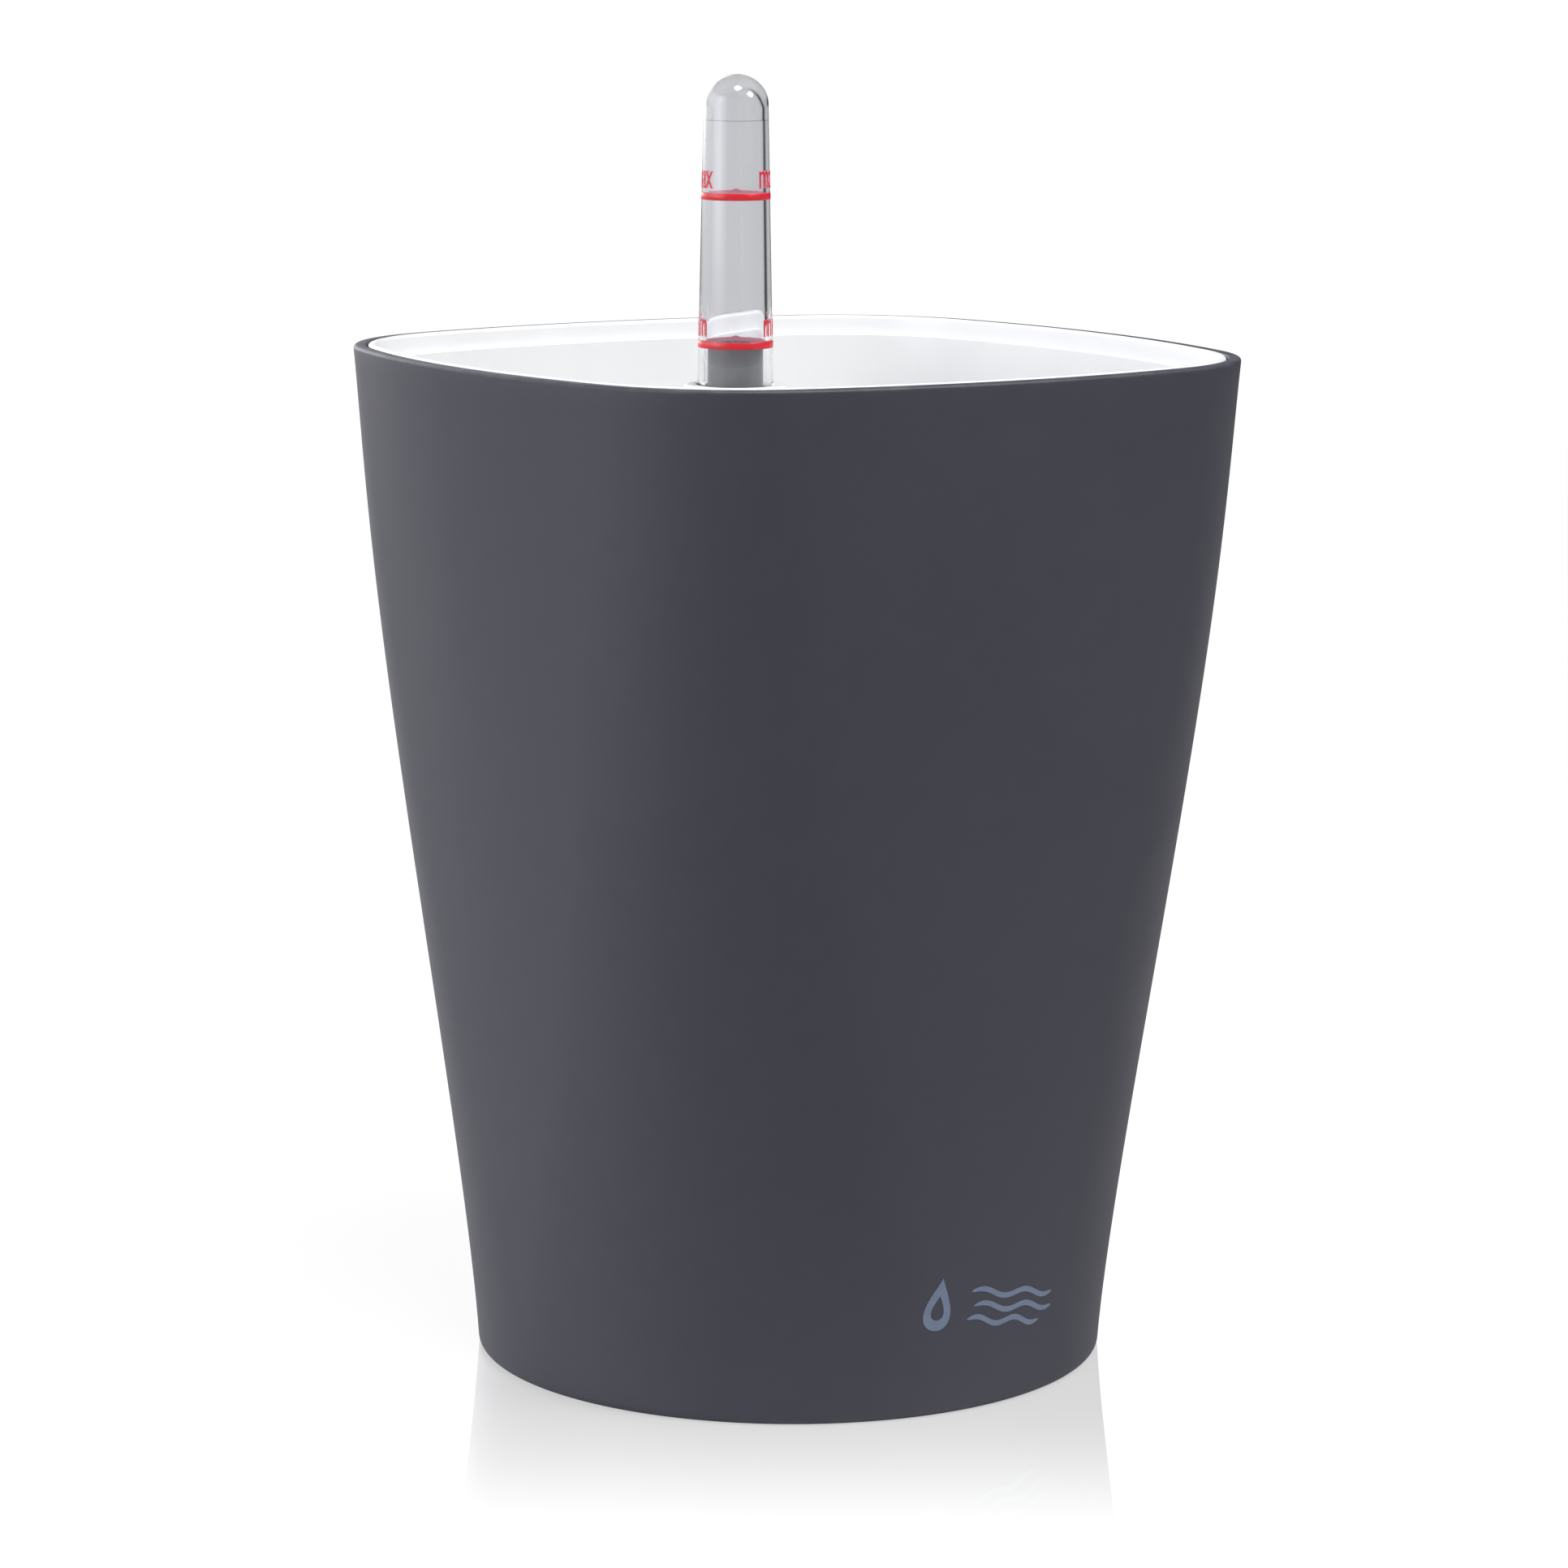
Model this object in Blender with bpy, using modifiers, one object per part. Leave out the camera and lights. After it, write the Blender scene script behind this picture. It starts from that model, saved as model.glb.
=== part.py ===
"""Self watering planter: a cachepot, a planting liner hung in its mouth, a slotted wicking basket
below the liner's floor, and a float-operated water level indicator in one corner.

Units are metres and +Z is up. The origin is the centre of the foot, on the surface that the planter
stands on, and the pot's flat sides face +X, -X, +Y and -Y. The indicator stands on the diagonal
towards (-X, -Y).
"""
from math import atan2, cos, hypot, pi, radians, sin, sqrt

import bmesh
import bpy
from mathutils import Matrix, Vector

MM = 0.001
GAP = 0.3 * MM                      # clearance between pieces that touch or slide
MERGE = 0.01 * MM

# Pot: a round foot that grows into a rounded square mouth with gently bowed sides
POT_HEIGHT = 180 * MM
MOUTH_HALF = 70.1 * MM              # from the axis to the middle of a side
MOUTH_CORNER = 34.3 * MM            # radius of a corner
MOUTH_BOW = 165 * MM                # radius of a side
FOOT_RADIUS = 56.3 * MM
FOOT_BOW = 216 * MM
WIDTH_SAG = 4.9 * MM                # how far the sides curve in between foot and mouth
WIDTH_SKEW = 3.6 * MM               # and how much more of it is low down
CORNER_POWER = 0.715                # how early the corners sharpen on the way up
BOW_POWER = 3.85                    # how late the sides take the mouth's bow

POT_WALL = 2.6 * MM
RIM_WALL = 2.3 * MM
RIM_EDGE = 0.6 * MM                 # radius of the rim's outer edge
POT_FLOOR = 4.0 * MM
POT_FILLET = 2.0 * MM
FOOT_EDGE = 1.4 * MM
RECESS_RADIUS = 48 * MM             # the underside is hollow inside the foot ring
RECESS_DEPTH = 1.5 * MM
LEDGE_HEIGHT = 174 * MM             # the liner's collar rests here
LEDGE_WIDTH = 1.2 * MM
LEDGE_BAND = 24 * MM                # the wall thins from the ledge's width over this height

LINER_PROUD = 0.15 * MM             # the liner's lip above the pot's rim
LINER_LIP = 1.6 * MM                # wall of the collar
LIP_OUTER_EDGE = 0.64 * MM
LIP_INNER_EDGE = 0.32 * MM
LINER_STEP = 3.5 * MM               # depth of the collar inside
LINER_INSET = RIM_WALL + LEDGE_WIDTH + 0.4 * MM     # pot's outline to the liner's lower wall
LINER_DRAFT = 1.0 * MM              # extra inset at the liner's floor
LINER_WALL = 1.5 * MM
LINER_BOTTOM = 44 * MM
LINER_FLOOR = 1.8 * MM
LINER_FILLET = 4.0 * MM
BASKET_OPENING = 23 * MM
DRAIN_RADIUS = 2.0 * MM
DRAIN_RING = 36 * MM
DRAINS = 8                          # one of them would fall on the boss and is left out

# Water level indicator
INDICATOR_OFFSET = 32.4 * MM        # its axis is this far from the pot's axis in X and in Y
BOSS_RADIUS = 9.8 * MM
BOSS_BORE = 7.0 * MM
BOSS_TOP = 74 * MM
SHAFT_RADIUS = 6.7 * MM
SHAFT_BORE = 5.45 * MM
SHAFT_BOTTOM = 7.1 * MM
SHAFT_SLOT = 2.0 * MM               # width of the water slots
SHAFT_SLOT_HEIGHT = 14 * MM
SHAFT_SLOT_MIDDLE = 20 * MM
COLLAR_RADIUS = 8.7 * MM
COLLAR_TOP = 178 * MM
SOCKET_RADIUS = 6.4 * MM
SOCKET_DEPTH = 8 * MM
SOCKET_FLOOR = 1.0 * MM             # thickness of the collar below the socket
SHOULDER = 2.0 * MM                 # thickness of the shoulder that rests on the boss
DOME_TOP = 229.6 * MM
DOME_RADIUS = 5.4 * MM
DOME_RISE = 4.9 * MM                # the dome is a little flatter than a half ball
DOME_WALL = 1.6 * MM
DOME_STEPS = 8
HOLLOW_DROP = 1.0 * MM              # the dome's hollow starts this far below the dome
HOLLOW_STEPS = 5
SIGHT_TAPER = 0.0207                # loss of radius over height
SIGHT_BORE = 5.25 * MM              # at the spigot's end
BORE_TAPER = 0.0131
BORE_TOP = 222 * MM                 # a small step, and the dome's hollow above it
BORE_STEP = 0.1 * MM
END_PLUG_BOTTOM = 4.6 * MM
END_PLUG_RADIUS = 6.5 * MM
END_PLUG_BORE = 2.0 * MM
FLOAT_RADIUS = 4.65 * MM
FLOAT_WALL = 0.5 * MM
FLOAT_BOTTOM = 12.3 * MM
FLOAT_TOP = 185 * MM
FLOAT_EDGE = 0.4 * MM
FLOAT_PLUG_FLANGE = 2.0 * MM
FLOAT_PLUG_LENGTH = 8.0 * MM

# Wicking basket
BASKET_FLANGE = 28 * MM
BASKET_RADIUS = 22 * MM
BASKET_FOOT = 19 * MM
BASKET_WALL = 1.6 * MM
BASKET_BOTTOM = 8 * MM
BASKET_SLOTS = 12
BASKET_HOLE = 2.0 * MM
BASKET_HOLES = 6                    # round one in the middle
BASKET_HOLE_RING = 10 * MM
SLOT_WIDTH = 2.6 * MM
SLOT_HEIGHT = 22 * MM
SLOT_MIDDLE = 25 * MM

POT_SIDES = 64                      # points around the pot and the liner
TURNED_SIDES = 32
BASKET_SIDES = 48
OPENING_SIDES = 64
HOLE_SIDES = 12
WALL_LEVELS = [level * MM for level in (20, 45, 70, 95, 120, 145, 165)]     # rings of the walls


def remove_old_objects():
    for old in list(bpy.data.objects):
        bpy.data.objects.remove(old, do_unlink=True)


def new_collection(name):
    collection = bpy.data.collections.new(name)
    bpy.context.scene.collection.children.link(collection)
    return collection


def make_material(name, color, roughness, alpha=1.0, transmission=0.0):
    material = bpy.data.materials.new(name)
    material.use_nodes = True
    shader = material.node_tree.nodes["Principled BSDF"]
    shader.inputs["Base Color"].default_value = (*color, 1.0)
    shader.inputs["Roughness"].default_value = roughness
    shader.inputs["Metallic"].default_value = 0.0
    shader.inputs["Alpha"].default_value = alpha
    shader.inputs["Transmission Weight"].default_value = transmission
    return material


def mix(low, high, t):
    return low + (high - low) * t


def smooth(t):
    return t * t * (3 - 2 * t)


def pot_outline(height):
    """Points and outward normals of the pot's outline at a height, evenly spaced along it.

    The outline is a rounded square of four side arcs and four corner arcs that meet smoothly. It
    starts at the middle of the +X side. A circle is the case where both radii are the same.
    """
    u = min(height / POT_HEIGHT, 1.0)
    half = mix(FOOT_RADIUS, MOUTH_HALF, u) - u * (1 - u) * (WIDTH_SAG + WIDTH_SKEW * (1 - 2 * u))
    corner = mix(FOOT_RADIUS, MOUTH_CORNER, smooth(u ** CORNER_POWER))
    side = 1 / mix(1 / FOOT_BOW, 1 / MOUTH_BOW, smooth(u ** BOW_POWER))
    side_centre = half - side
    corner_centre = (side_centre + sqrt(2 * (side - corner) ** 2 - side_centre ** 2)) / 2
    bend = atan2(corner_centre, corner_centre - side_centre)
    half_side = side * bend
    quarter = 2 * half_side + corner * (pi / 2 - 2 * bend)
    points = []
    for index in range(POT_SIDES):
        turn, step = divmod(index, POT_SIDES // 4)
        along = step * quarter / (POT_SIDES // 4)
        if along <= half_side:
            angle = along / side
            point = Vector((side_centre + side * cos(angle), side * sin(angle), 0))
        elif along < quarter - half_side:
            angle = bend + (along - half_side) / corner
            point = Vector((corner_centre + corner * cos(angle), corner_centre + corner * sin(angle), 0))
        else:
            angle = pi / 2 - (quarter - along) / side
            point = Vector((side * cos(angle), side_centre + side * sin(angle), 0))
        rotation = Matrix.Rotation(turn * pi / 2, 3, "Z")
        points.append((rotation @ point, rotation @ Vector((cos(angle), sin(angle), 0))))
    return points


def arc(inset, height, radius, start, end, steps=3):
    """(inset, height) stations round an arc about a centre. The angle, in degrees, is 0 towards the
    outside and 90 towards the top."""
    stations = []
    for step in range(steps + 1):
        angle = radians(mix(start, end, step / steps))
        stations.append((inset - radius * cos(angle), height + radius * sin(angle)))
    return stations


def add_object(name, mesh, material, collection, location=(0, 0, 0)):
    piece = bpy.data.objects.new(name, mesh)
    collection.objects.link(piece)
    piece.location = location
    if material:
        mesh.materials.append(material)
        mesh.shade_smooth()
        mesh.set_sharp_from_angle(angle=radians(35))
    return piece


def lofted_shell(name, stations, material, collection):
    """Closed shell through the pot's outline at each (inset, height) station, capped at both ends."""
    shape = bmesh.new()
    rings = []
    for inset, height in stations:
        rings.append([shape.verts.new(point - normal * inset + Vector((0, 0, height)))
                      for point, normal in pot_outline(height)])
    for lower, upper in zip(rings, rings[1:]):
        for index in range(POT_SIDES):
            following = (index + 1) % POT_SIDES
            shape.faces.new((lower[index], lower[following], upper[following], upper[index]))
    shape.faces.new(reversed(rings[0]))
    shape.faces.new(rings[-1])
    mesh = bpy.data.meshes.new(name)
    shape.to_mesh(mesh)
    shape.free()
    return add_object(name, mesh, material, collection)


def turned_piece(name, profile, material, collection, axis, sides=TURNED_SIDES):
    """Solid turned about a vertical axis.

    The profile lists (radius, height) points that run down the outside and up the bore. It is
    closed unless both its ends lie on the axis. The object's origin is the profile's first height.
    """
    base = profile[0][1]
    mesh = bpy.data.meshes.new(name)
    links = [(index, index + 1) for index in range(len(profile) - 1)]
    if profile[0][0] > 0:
        links.append((len(profile) - 1, 0))
    mesh.from_pydata([(radius, 0, height - base) for radius, height in profile], links, [])
    piece = add_object(name, mesh, material, collection, (*axis, base))
    screw = piece.modifiers.new("turn", "SCREW")
    screw.axis = "Z"
    screw.steps = screw.render_steps = sides
    screw.use_merge_vertices = True
    screw.merge_threshold = MERGE
    screw.use_smooth_shade = True
    return piece


def box_cutter(name, boxes, collection, location=(0, 0, 0)):
    """One cutter of several boxes: each is a size, a centre and a turn about Z in radians."""
    shape = bmesh.new()
    for size, centre, turn in boxes:
        rotation = Matrix.Rotation(turn, 4, "Z")
        place = rotation @ Matrix.Translation(centre) @ Matrix.Diagonal((*size, 1))
        bmesh.ops.create_cube(shape, size=1, matrix=place)
    return finish_cutter(name, shape, collection, location)


def round_cutter(name, holes, bottom, top, collection, sides=TURNED_SIDES):
    """One cutter of several upright cylinders: each is a radius and an (x, y) centre."""
    shape = bmesh.new()
    for radius, (x, y) in holes:
        bmesh.ops.create_cone(shape, cap_ends=True, segments=sides, radius1=radius, radius2=radius,
                              depth=top - bottom, matrix=Matrix.Translation((x, y, (top + bottom) / 2)))
    return finish_cutter(name, shape, collection)


def finish_cutter(name, shape, collection, location=(0, 0, 0)):
    mesh = bpy.data.meshes.new(name)
    shape.to_mesh(mesh)
    shape.free()
    cutter = add_object(name, mesh, None, collection, location)
    cutter.hide_render = True
    cutter.display_type = "WIRE"
    return cutter


def combine(piece, cutter, operation="DIFFERENCE"):
    boolean = piece.modifiers.new(cutter.name, "BOOLEAN")
    boolean.operation = operation
    boolean.solver = "EXACT"
    boolean.object = cutter


def ring_of_points(count, radius):
    angles = [2 * pi * index / count for index in range(count)]
    return [(radius * cos(angle), radius * sin(angle)) for angle in angles]


def make_outer_pot(parts):
    """Cachepot and reservoir. It stands on a foot ring and has an inner ledge below its rim."""
    recess = FOOT_RADIUS - RECESS_RADIUS
    inner_edge = RIM_EDGE / 2
    stations = [(recess + RECESS_DEPTH, RECESS_DEPTH), (recess, 0)]
    stations += arc(FOOT_EDGE, FOOT_EDGE, FOOT_EDGE, -90, 0)
    stations += [(0, level) for level in WALL_LEVELS]
    stations += arc(RIM_EDGE, POT_HEIGHT - RIM_EDGE, RIM_EDGE, 0, 90)
    stations += [(RIM_WALL - inner_edge, POT_HEIGHT), (RIM_WALL, POT_HEIGHT - inner_edge),
                 (RIM_WALL, LEDGE_HEIGHT), (RIM_WALL + LEDGE_WIDTH, LEDGE_HEIGHT)]
    stations += [(POT_WALL, level) for level in reversed(WALL_LEVELS)
                 if level < LEDGE_HEIGHT - LEDGE_BAND]
    stations += arc(POT_WALL + POT_FILLET, POT_FLOOR + POT_FILLET, POT_FILLET, 0, -90)
    plastic = make_material("dark_matte_plastic", (0.046, 0.046, 0.066), 0.55)
    return lofted_shell("outer_pot", stations, plastic, parts)


def liner_inset(height):
    """Inset of the liner's lower outer wall from the pot's outline."""
    return LINER_INSET + LINER_DRAFT * (LEDGE_HEIGHT - height) / (LEDGE_HEIGHT - LINER_BOTTOM)


def make_inner_pot(parts, cutters):
    """Planting liner: its collar hangs on the pot's ledge, and its floor carries the indicator's
    boss and the opening that the basket drops into."""
    levels = [level for level in WALL_LEVELS if level > LINER_BOTTOM + LINER_FILLET]
    collar_bottom = LEDGE_HEIGHT + GAP
    collar_inset = RIM_WALL + GAP
    lip_top = POT_HEIGHT + LINER_PROUD
    lip_inner = collar_inset + LINER_LIP
    step_height = lip_top - LINER_STEP
    floor_top = LINER_BOTTOM + LINER_FLOOR
    bottom_inset = liner_inset(LINER_BOTTOM)
    inner_fillet = LINER_FILLET - LINER_WALL
    stations = arc(bottom_inset + LINER_FILLET, LINER_BOTTOM + LINER_FILLET, LINER_FILLET, -90, 0)
    stations += [(liner_inset(level), level) for level in levels]
    stations += [(liner_inset(LEDGE_HEIGHT), collar_bottom), (collar_inset, collar_bottom)]
    stations += arc(collar_inset + LIP_OUTER_EDGE, lip_top - LIP_OUTER_EDGE, LIP_OUTER_EDGE, 0, 90, 2)
    stations += [(lip_inner - LIP_INNER_EDGE, lip_top), (lip_inner, lip_top - LIP_INNER_EDGE),
                 (lip_inner, step_height), (liner_inset(LEDGE_HEIGHT) + LINER_WALL, step_height)]
    stations += [(liner_inset(level) + LINER_WALL, level) for level in reversed(levels)]
    stations += arc(bottom_inset + LINER_WALL + inner_fillet, floor_top + inner_fillet, inner_fillet,
                    0, -90, 2)
    plastic = make_material("white_plastic", (0.82, 0.825, 0.835), 0.32)
    liner = lofted_shell("inner_pot", stations, plastic, parts)

    axis = (-INDICATOR_OFFSET, -INDICATOR_OFFSET)
    boss = round_cutter("liner_boss", [(BOSS_RADIUS, axis)], LINER_BOTTOM + LINER_FLOOR / 2, BOSS_TOP,
                        cutters)
    combine(liner, boss, "UNION")
    below, above = LINER_BOTTOM - LINER_FILLET, BOSS_TOP + LINER_FILLET
    combine(liner, round_cutter("liner_bore", [(BOSS_BORE, axis)], below, above, cutters))
    opening = round_cutter("liner_opening", [(BASKET_OPENING, (0, 0))], below, above, cutters,
                           OPENING_SIDES)
    combine(liner, opening)
    drains = [(DRAIN_RADIUS, (x, y)) for x, y in ring_of_points(DRAINS, DRAIN_RING)
              if hypot(x - axis[0], y - axis[1]) > BOSS_RADIUS + DRAIN_RADIUS]
    combine(liner, round_cutter("liner_drains", drains, below, above, cutters, HOLE_SIDES))
    return liner


def make_wicking_basket(parts, cutters):
    """Slotted cup that hangs by its flange in the liner's floor and stands in the water."""
    flange_bottom = LINER_BOTTOM + LINER_FLOOR + GAP
    flange_top = flange_bottom + BASKET_WALL
    inner_floor = BASKET_BOTTOM + BASKET_WALL
    edge = BASKET_WALL / 2
    profile = [(0, inner_floor), (BASKET_FOOT - BASKET_WALL, inner_floor),
               (BASKET_RADIUS - BASKET_WALL, flange_top - edge), (BASKET_RADIUS - edge, flange_top),
               (BASKET_FLANGE, flange_top), (BASKET_FLANGE, flange_bottom),
               (BASKET_RADIUS, flange_bottom), (BASKET_FOOT, inner_floor),
               (BASKET_FOOT - BASKET_WALL, BASKET_BOTTOM), (0, BASKET_BOTTOM)]
    plastic = make_material("basket_plastic", (0.80, 0.81, 0.82), 0.4)
    basket = turned_piece("wicking_basket", profile, plastic, parts, (0, 0), BASKET_SIDES)

    slot_size = Vector((BASKET_RADIUS / 2, SLOT_WIDTH, SLOT_HEIGHT))
    slot_centre = Vector((BASKET_RADIUS, 0, SLOT_MIDDLE))
    slots = [(slot_size, slot_centre, 2 * pi * index / BASKET_SLOTS) for index in range(BASKET_SLOTS)]
    combine(basket, box_cutter("basket_slots", slots, cutters))
    holes = [(BASKET_HOLE, place) for place in [(0, 0)] + ring_of_points(BASKET_HOLES, BASKET_HOLE_RING)]
    combine(basket, round_cutter("basket_holes", holes, BASKET_BOTTOM - edge, inner_floor + edge,
                                 cutters, HOLE_SIDES))
    return basket


def make_sight_tube(parts, axis):
    """Clear tapered tube with a domed top. Its spigot sits in the shaft's collar."""
    spring_line = DOME_TOP - DOME_RISE
    spigot = SOCKET_RADIUS - GAP
    spigot_bottom = COLLAR_TOP - SOCKET_DEPTH + GAP
    spigot_top = COLLAR_TOP + GAP
    bore_top = SIGHT_BORE - BORE_TAPER * (BORE_TOP - spigot_bottom)
    hollow = bore_top - BORE_STEP
    hollow_line = spring_line - HOLLOW_DROP
    hollow_rise = DOME_TOP - DOME_WALL - hollow_line
    profile = [(0, DOME_TOP)]
    profile += [(DOME_RADIUS * cos(angle), spring_line + DOME_RISE * sin(angle))
                for angle in (radians(90 - 90 * step / DOME_STEPS) for step in range(1, DOME_STEPS + 1))]
    profile += [(DOME_RADIUS + SIGHT_TAPER * (spring_line - spigot_top), spigot_top),
                (spigot, spigot_top), (spigot, spigot_bottom), (SIGHT_BORE, spigot_bottom),
                (bore_top, BORE_TOP), (hollow, BORE_TOP)]
    profile += [(hollow * cos(angle), hollow_line + hollow_rise * sin(angle))
                for angle in (radians(90 * step / HOLLOW_STEPS) for step in range(HOLLOW_STEPS))]
    profile.append((0, DOME_TOP - DOME_WALL))
    clear = make_material("clear_plastic", (0.96, 0.96, 0.98), 0.05, alpha=0.4, transmission=1.0)
    return turned_piece("indicator_sight_tube", profile, clear, parts, axis)


def make_indicator_shaft(parts, cutters, axis):
    """Guide tube of the float: a socket for the sight tube at the top, a shoulder that rests on the
    liner's boss, and water slots near the bottom."""
    flare = COLLAR_RADIUS - SHAFT_RADIUS
    collar_bottom = COLLAR_TOP - SOCKET_DEPTH - SOCKET_FLOOR
    shoulder_bottom = BOSS_TOP + GAP
    shoulder_top = shoulder_bottom + SHOULDER
    profile = [(COLLAR_RADIUS, COLLAR_TOP), (COLLAR_RADIUS, collar_bottom),
               (SHAFT_RADIUS, collar_bottom - flare), (SHAFT_RADIUS, shoulder_top + flare / 2),
               (COLLAR_RADIUS, shoulder_top), (COLLAR_RADIUS, shoulder_bottom),
               (SHAFT_RADIUS, shoulder_bottom), (SHAFT_RADIUS, SHAFT_BOTTOM),
               (SHAFT_BORE, SHAFT_BOTTOM), (SHAFT_BORE, COLLAR_TOP - SOCKET_DEPTH),
               (SOCKET_RADIUS, COLLAR_TOP - SOCKET_DEPTH), (SOCKET_RADIUS, COLLAR_TOP)]
    plastic = make_material("indicator_plastic", (0.84, 0.85, 0.86), 0.35)
    shaft = turned_piece("indicator_shaft", profile, plastic, parts, axis)
    slot_size = Vector((4 * SHAFT_RADIUS, SHAFT_SLOT, SHAFT_SLOT_HEIGHT))
    slots = [(slot_size, Vector((0, 0, SHAFT_SLOT_MIDDLE)), turn) for turn in (0, pi / 2)]
    combine(shaft, box_cutter("shaft_slots", slots, cutters, (*axis, 0)))
    return shaft


def make_indicator_foot(parts, axis):
    """Plug in the bottom of the shaft. It keeps the float in and lets water through its bore."""
    flange_top = SHAFT_BOTTOM - GAP
    top = FLOAT_BOTTOM - GAP
    spigot = SHAFT_BORE - GAP
    edge = FLOAT_EDGE
    profile = [(spigot - edge, top), (spigot, top - edge), (spigot, flange_top),
               (END_PLUG_RADIUS, flange_top), (END_PLUG_RADIUS, END_PLUG_BOTTOM),
               (END_PLUG_BORE, END_PLUG_BOTTOM), (END_PLUG_BORE, top)]
    plastic = make_material("foot_plastic", (0.84, 0.85, 0.86), 0.4)
    return turned_piece("indicator_foot", profile, plastic, parts, axis)


def make_float_rod(parts, axis):
    """Hollow float, closed at its top, whose top end is read against the sight tube's rings."""
    bore = FLOAT_RADIUS - FLOAT_WALL
    bottom = FLOAT_BOTTOM + FLOAT_PLUG_FLANGE + GAP
    roof = FLOAT_TOP - FLOAT_PLUG_FLANGE
    profile = [(0, FLOAT_TOP), (FLOAT_RADIUS - FLOAT_EDGE, FLOAT_TOP),
               (FLOAT_RADIUS, FLOAT_TOP - FLOAT_EDGE), (FLOAT_RADIUS, bottom), (bore, bottom),
               (bore, roof), (0, roof)]
    plastic = make_material("float_plastic", (0.300, 0.303, 0.312), 0.45)
    return turned_piece("float_rod", profile, plastic, parts, axis)


def make_float_plug(parts, axis):
    """Plug that seals the bottom of the float rod."""
    spigot = FLOAT_RADIUS - FLOAT_WALL - GAP
    top = FLOAT_BOTTOM + FLOAT_PLUG_LENGTH
    flange_top = FLOAT_BOTTOM + FLOAT_PLUG_FLANGE
    profile = [(0, top), (spigot - FLOAT_EDGE, top), (spigot, top - FLOAT_EDGE), (spigot, flange_top),
               (FLOAT_RADIUS, flange_top), (FLOAT_RADIUS, FLOAT_BOTTOM + FLOAT_EDGE),
               (FLOAT_RADIUS - FLOAT_EDGE, FLOAT_BOTTOM), (0, FLOAT_BOTTOM)]
    plastic = make_material("float_plug_plastic", (0.300, 0.303, 0.312), 0.5)
    return turned_piece("float_plug", profile, plastic, parts, axis)


def main():
    remove_old_objects()
    parts = new_collection("self_watering_planter")
    cutters = new_collection("cutters")
    axis = (-INDICATOR_OFFSET, -INDICATOR_OFFSET)
    make_outer_pot(parts)
    make_inner_pot(parts, cutters)
    make_wicking_basket(parts, cutters)
    make_sight_tube(parts, axis)
    make_indicator_shaft(parts, cutters, axis)
    make_indicator_foot(parts, axis)
    make_float_rod(parts, axis)
    make_float_plug(parts, axis)


main()
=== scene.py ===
# Self watering planter: fine meshes, materials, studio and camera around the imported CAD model.
# Metres, +Z up. The marked side of the pot faces -Y, and the corner towards (-X, -Y) faces the camera.

from math import atan2, cos, hypot, pi, radians, sin, sqrt

import bmesh
import bpy
from mathutils import Matrix, Vector


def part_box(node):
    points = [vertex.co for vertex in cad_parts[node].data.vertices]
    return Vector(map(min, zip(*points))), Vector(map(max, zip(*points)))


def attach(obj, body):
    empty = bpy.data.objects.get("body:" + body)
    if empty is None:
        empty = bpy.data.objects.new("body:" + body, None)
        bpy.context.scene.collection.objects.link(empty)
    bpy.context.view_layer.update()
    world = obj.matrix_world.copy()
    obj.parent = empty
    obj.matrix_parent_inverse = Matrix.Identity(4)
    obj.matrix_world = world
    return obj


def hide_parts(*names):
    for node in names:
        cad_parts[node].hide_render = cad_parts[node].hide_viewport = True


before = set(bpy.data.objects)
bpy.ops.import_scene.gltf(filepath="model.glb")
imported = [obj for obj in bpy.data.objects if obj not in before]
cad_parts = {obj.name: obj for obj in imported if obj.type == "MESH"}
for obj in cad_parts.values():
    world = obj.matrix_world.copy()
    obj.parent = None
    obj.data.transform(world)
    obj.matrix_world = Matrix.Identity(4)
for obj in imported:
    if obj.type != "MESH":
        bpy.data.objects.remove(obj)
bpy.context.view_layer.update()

MM = 0.001

# ---------------------------------------------------------------- sizes, as in the CAD model
pot_low, pot_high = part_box("outer_pot")
liner_low, liner_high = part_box("inner_pot")
basket_low, basket_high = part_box("wicking_basket")
sight_low, sight_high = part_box("indicator_sight_tube")
shaft_low, shaft_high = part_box("indicator_shaft")
foot_low, foot_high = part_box("indicator_foot")
rod_low, rod_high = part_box("float_rod")
plug_low, plug_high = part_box("float_plug")

POT_HEIGHT = pot_high.z
MOUTH_HALF = pot_high.x
MOUTH_CORNER = 34.3 * MM
MOUTH_BOW = 165 * MM
FOOT_RADIUS = 56.3 * MM
FOOT_BOW = 216 * MM
WIDTH_SAG = 4.9 * MM
WIDTH_SKEW = 3.6 * MM
CORNER_POWER = 0.715
BOW_POWER = 3.85

POT_WALL = 2.6 * MM
RIM_WALL = 2.3 * MM
LEDGE_HEIGHT = 174 * MM
LEDGE_WIDTH = 1.2 * MM
LEDGE_BAND = 24 * MM
POT_FLOOR = 4.0 * MM
RECESS_RADIUS = 48 * MM
RECESS_DEPTH = 1.5 * MM
GAP = 0.3 * MM                      # clearance between loose parts

LIP_INSET = RIM_WALL + GAP
LIP_WALL = 1.6 * MM
COLLAR_BOTTOM = LEDGE_HEIGHT + GAP
COLLAR_STEP = 3.5 * MM              # depth of the collar inside
LINER_INSET = RIM_WALL + LEDGE_WIDTH + 0.4 * MM
LINER_DRAFT = 1.0 * MM
LINER_WALL = 1.5 * MM
LINER_FLOOR = 1.8 * MM
LINER_FILLET = 4.0 * MM
BASKET_OPENING = 23 * MM
DRAIN_RADIUS = 2.0 * MM
DRAIN_RING = 36 * MM
DRAINS = 8                          # one of them would fall on the boss and is left out
BOSS_RADIUS = 9.8 * MM
BOSS_BORE = 7.0 * MM
BOSS_TOP = 74 * MM

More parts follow.
